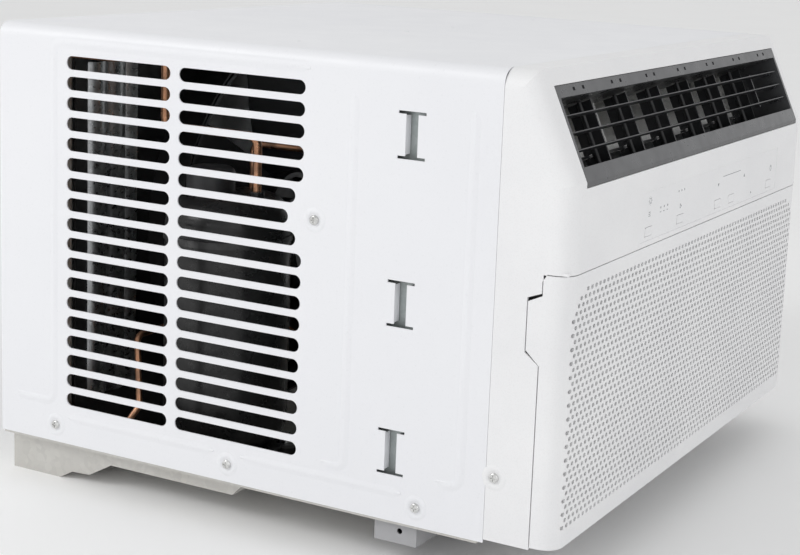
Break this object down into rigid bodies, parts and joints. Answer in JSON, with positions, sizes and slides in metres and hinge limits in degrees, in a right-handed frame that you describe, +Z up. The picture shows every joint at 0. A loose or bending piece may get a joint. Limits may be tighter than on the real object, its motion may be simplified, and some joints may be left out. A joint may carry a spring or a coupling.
{
  "type": "window air conditioner",
  "caption": "Box-shaped room air conditioner for a window: slotted steel case, sloped louvred outlet, perforated hinged intake grille, flush key panel, coils, fan and compressor inside.",
  "frame": {"origin": "on the ground plane below the middle of the unit, level with the lowest face of the sump", "axes": "+X to the right as seen from the room, +Y towards the outdoor side, +Z up; the room side faces -Y"},
  "size_m": [0.5904, 0.568, 0.42],
  "materials": {
    "case_paint": "satin off-white enamel on steel sheet",
    "front_plastic": "fine-grained white moulding",
    "grille_plastic": "white perforated moulding",
    "fascia_plastic": "smooth white insert",
    "key_plastic": "smooth light key cap",
    "louvre_black": "black moulding",
    "galvanised_steel": "zinc-coated sheet",
    "rail_steel": "dark grey painted steel",
    "screw_steel": "bright zinc",
    "fin_aluminium": "thin fins, dull",
    "copper": "bare copper tube",
    "compressor_paint": "semi-gloss black paint",
    "rubber_black": "soft black rubber",
    "foam_white": "expanded polystyrene",
    "fan_plastic": "glass-filled black moulding",
    "motor_paint": "black paint",
    "shaft_steel": "ground steel",
    "filter_net": "fine dark net",
    "filter_plastic": "grey moulding",
    "light_lens": "small tinted lens",
    "board_green": "circuit board",
    "box_steel": "zinc-coated sheet",
    "capacitor_metal": "drawn can"
  },
  "bodies": {
    "chassis": {"base_pan": "galvanised_steel", "drain_plug": "rubber_black", "support_rail": "rail_steel", "cabinet": "case_paint", "cabinet_screws": "screw_steel", "condenser_core": "fin_aluminium", "condenser_tubes": "copper", "condenser_end_plates": "galvanised_steel", "fan_shroud": "galvanised_steel", "fan_motor": "motor_paint", "motor_bracket": "galvanised_steel", "compressor": "compressor_paint", "compressor_grommets": "rubber_black", "compressor_bolts": "screw_steel", "terminal_cover": "fan_plastic", "accumulator": "compressor_paint", "discharge_line": "copper", "liquid_lines": "copper", "filter_drier": "copper", "suction_line": "copper", "bulkhead": "galvanised_steel", "scroll_housing": "foam_white", "evaporator_core": "fin_aluminium", "evaporator_tubes": "copper", "evaporator_end_plates": "galvanised_steel", "discharge_duct": "foam_white", "front_panel": "front_plastic", "cord_gland": "louvre_black", "discharge_frame": "louvre_black", "grille_pins": "shaft_steel", "control_fascia": "fascia_plastic", "indicator_lights": "light_lens", "control_board": "board_green", "control_box": "box_steel", "run_capacitor": "capacitor_metal"},
    "fan_rotor": {"motor_shaft": "shaft_steel", "condenser_fan": "fan_plastic", "blower_wheel": "fan_plastic", "shaft_nuts": "screw_steel"},
    "grille": {"intake_grille": "grille_plastic", "filter_frame": "filter_plastic", "filter_mesh": "filter_net"},
    "louvre_upper": {"blade_upper": "louvre_black"},
    "louvre_middle": {"blade_middle": "louvre_black"},
    "louvre_lower": {"blade_lower": "louvre_black"},
    "louvre_link": {"blade_link": "louvre_black"},
    "swing_link_left": {"vane_link_left": "louvre_black"},
    "swing_link_right": {"vane_link_right": "louvre_black"},
    "swing_vane_1": {"vane_1": "louvre_black"},
    "swing_vane_2": {"vane_2": "louvre_black"},
    "swing_vane_3": {"vane_3": "louvre_black"},
    "swing_vane_4": {"vane_4": "louvre_black"},
    "swing_vane_5": {"vane_5": "louvre_black"},
    "swing_vane_6": {"vane_6": "louvre_black"},
    "swing_vane_7": {"vane_7": "louvre_black"},
    "key_mode_cap": {"key_mode": "key_plastic"},
    "key_fan_cap": {"key_fan": "key_plastic"},
    "key_minus_cap": {"key_minus": "key_plastic"},
    "key_plus_cap": {"key_plus": "key_plastic"},
    "key_power_cap": {"key_power": "key_plastic"}
  },
  "joints": [
    {"name": "fan_spin", "type": "hinge", "parent": "chassis", "child": "fan_rotor", "pos_m": [0.04, 0, 0.21], "axis": [0, 1, 0], "continuous": true},
    {"name": "grille_open", "type": "hinge", "parent": "chassis", "child": "grille", "pos_m": [0, -0.271, 0.048], "axis": [1, 0, 0], "range_deg": [0, 75]},
    {"name": "blade_upper_tilt", "type": "hinge", "parent": "chassis", "child": "louvre_upper", "pos_m": [0, -0.25255, 0.38126], "axis": [1, 0, 0], "range_deg": [-20, 20]},
    {"name": "blade_tilt", "type": "hinge", "parent": "chassis", "child": "louvre_middle", "pos_m": [0, -0.25832, 0.3685], "axis": [1, 0, 0], "range_deg": [-20, 20]},
    {"name": "blade_lower_tilt", "type": "hinge", "parent": "chassis", "child": "louvre_lower", "pos_m": [0, -0.26409, 0.35574], "axis": [1, 0, 0], "range_deg": [-20, 20]},
    {"name": "blade_link_pivot", "type": "hinge", "parent": "louvre_middle", "child": "louvre_link", "pos_m": [0.214, -0.25331, 0.36623], "axis": [1, 0, 0], "range_deg": [-20, 20]},
    {"name": "vane_1_swing", "type": "hinge", "parent": "chassis", "child": "swing_vane_1", "pos_m": [-0.228, -0.23281, 0.35696], "axis": [0, -0.4122, -0.9111], "range_deg": [-30, 30]},
    {"name": "vane_2_swing", "type": "hinge", "parent": "chassis", "child": "swing_vane_2", "pos_m": [-0.152, -0.23281, 0.35696], "axis": [0, -0.4122, -0.9111], "range_deg": [-30, 30]},
    {"name": "vane_3_swing", "type": "hinge", "parent": "chassis", "child": "swing_vane_3", "pos_m": [-0.076, -0.23281, 0.35696], "axis": [0, -0.4122, -0.9111], "range_deg": [-30, 30]},
    {"name": "vane_4_swing", "type": "hinge", "parent": "chassis", "child": "swing_vane_4", "pos_m": [0, -0.23281, 0.35696], "axis": [0, -0.4122, -0.9111], "range_deg": [-30, 30]},
    {"name": "vane_5_swing", "type": "hinge", "parent": "chassis", "child": "swing_vane_5", "pos_m": [0.076, -0.23281, 0.35696], "axis": [0, -0.4122, -0.9111], "range_deg": [-30, 30]},
    {"name": "vane_6_swing", "type": "hinge", "parent": "chassis", "child": "swing_vane_6", "pos_m": [0.152, -0.23281, 0.35696], "axis": [0, -0.4122, -0.9111], "range_deg": [-30, 30]},
    {"name": "vane_7_swing", "type": "hinge", "parent": "chassis", "child": "swing_vane_7", "pos_m": [0.228, -0.23281, 0.35696], "axis": [0, -0.4122, -0.9111], "range_deg": [-30, 30]},
    {"name": "vane_link_left_pivot", "type": "hinge", "parent": "swing_vane_1", "child": "swing_link_left", "pos_m": [-0.228, -0.23294, 0.33726], "axis": [0, -0.4122, -0.9111], "range_deg": [-30, 30]},
    {"name": "vane_link_right_pivot", "type": "hinge", "parent": "swing_vane_5", "child": "swing_link_right", "pos_m": [0.076, -0.23294, 0.33726], "axis": [0, -0.4122, -0.9111], "range_deg": [-30, 30]},
    {"name": "key_mode_press", "type": "slide", "parent": "chassis", "child": "key_mode_cap", "axis": [0, 1, 0], "range_m": [0, 0.0006], "stiffness_N_per_m": 1500},
    {"name": "key_fan_press", "type": "slide", "parent": "chassis", "child": "key_fan_cap", "axis": [0, 1, 0], "range_m": [0, 0.0006], "stiffness_N_per_m": 1500},
    {"name": "key_minus_press", "type": "slide", "parent": "chassis", "child": "key_minus_cap", "axis": [0, 1, 0], "range_m": [0, 0.0006], "stiffness_N_per_m": 1500},
    {"name": "key_plus_press", "type": "slide", "parent": "chassis", "child": "key_plus_cap", "axis": [0, 1, 0], "range_m": [0, 0.0006], "stiffness_N_per_m": 1500},
    {"name": "key_power_press", "type": "slide", "parent": "chassis", "child": "key_power_cap", "axis": [0, 1, 0], "range_m": [0, 0.0006], "stiffness_N_per_m": 1500}
  ],
  "couplings": [
    {"joint": "blade_upper_tilt", "follows": "blade_tilt", "ratio": 1},
    {"joint": "blade_lower_tilt", "follows": "blade_tilt", "ratio": 1},
    {"joint": "blade_link_pivot", "follows": "blade_tilt", "ratio": -1},
    {"joint": "vane_2_swing", "follows": "vane_1_swing", "ratio": 1},
    {"joint": "vane_3_swing", "follows": "vane_1_swing", "ratio": 1},
    {"joint": "vane_4_swing", "follows": "vane_1_swing", "ratio": 1},
    {"joint": "vane_6_swing", "follows": "vane_5_swing", "ratio": 1},
    {"joint": "vane_7_swing", "follows": "vane_5_swing", "ratio": 1},
    {"joint": "vane_link_left_pivot", "follows": "vane_1_swing", "ratio": -1},
    {"joint": "vane_link_right_pivot", "follows": "vane_5_swing", "ratio": -1}
  ]
}
